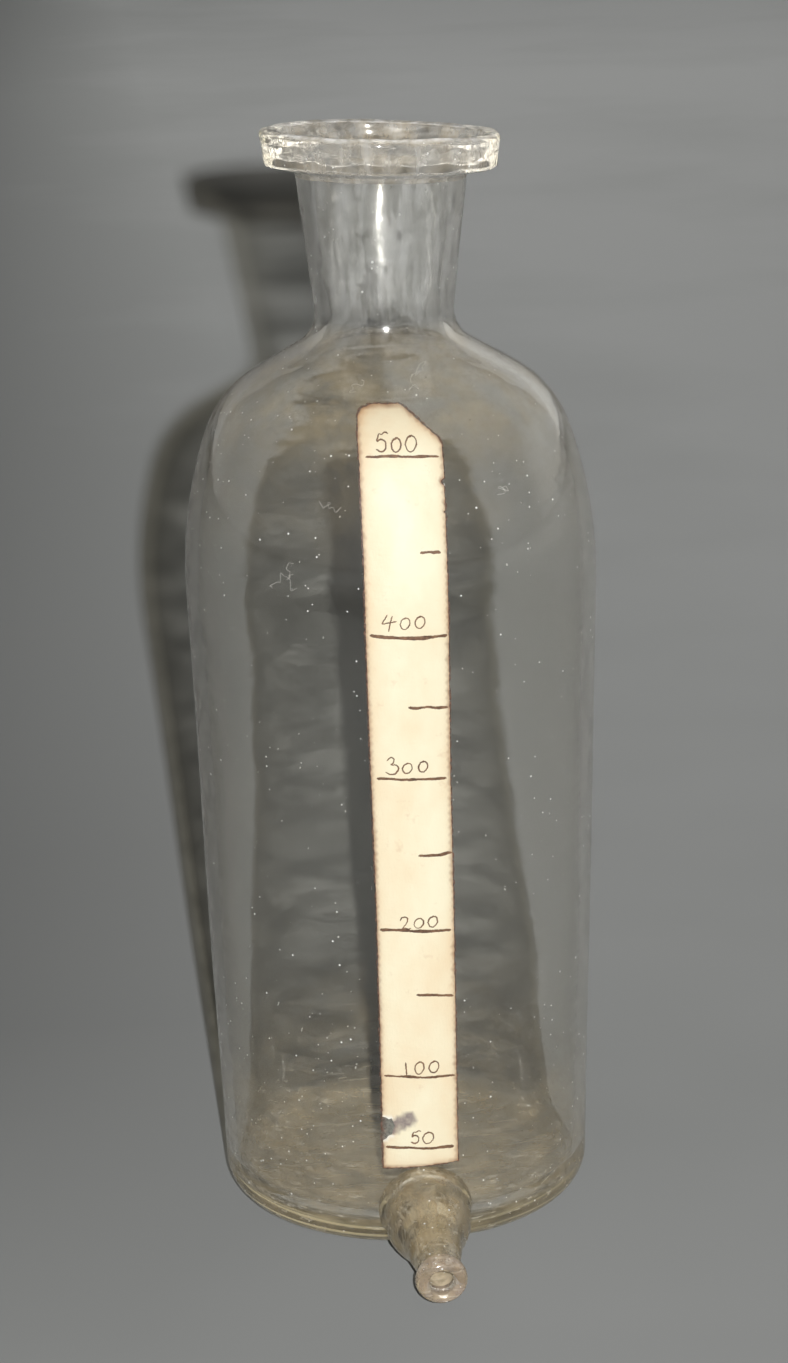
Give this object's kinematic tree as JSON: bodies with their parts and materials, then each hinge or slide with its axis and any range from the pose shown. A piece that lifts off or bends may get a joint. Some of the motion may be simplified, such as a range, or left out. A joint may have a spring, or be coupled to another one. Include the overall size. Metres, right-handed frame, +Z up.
{
  "type": "graduated aspirator bottle",
  "caption": "Clear blown-glass bottle with a flared lip, a low outlet nozzle on its front and a pasted paper strip with a handwritten millilitre scale.",
  "frame": {"origin": "centre of the flat base, on the bottle's axis", "axes": "+Z up the bottle's axis to the mouth; the outlet nozzle and the scale face -Y, and the nozzle droops 6 degrees below -Y; +X to the right seen from the nozzle's side"},
  "size_m": [0.075, 0.098, 0.2],
  "materials": {
    "clear_glass": "old blown glass, clear with a faint straw tint where it is thick, glossy, a little dusty inside",
    "dried_gum": "thin brown film of dried gum, satin",
    "aged_paper": "matte cream paper, browned along its edges",
    "iron_gall_ink": "faded brown-black pen ink, matte"
  },
  "bodies": {
    "root": {"bottle_body": "clear_glass", "lip_ring": "clear_glass", "outlet_nozzle": "clear_glass", "nozzle_bead": "clear_glass", "gum_film": "dried_gum", "paper_scale": "aged_paper", "ink_numbered_lines": "iron_gall_ink", "ink_halfway_lines": "iron_gall_ink", "ink_figures": "iron_gall_ink"}
  },
  "joints": []
}
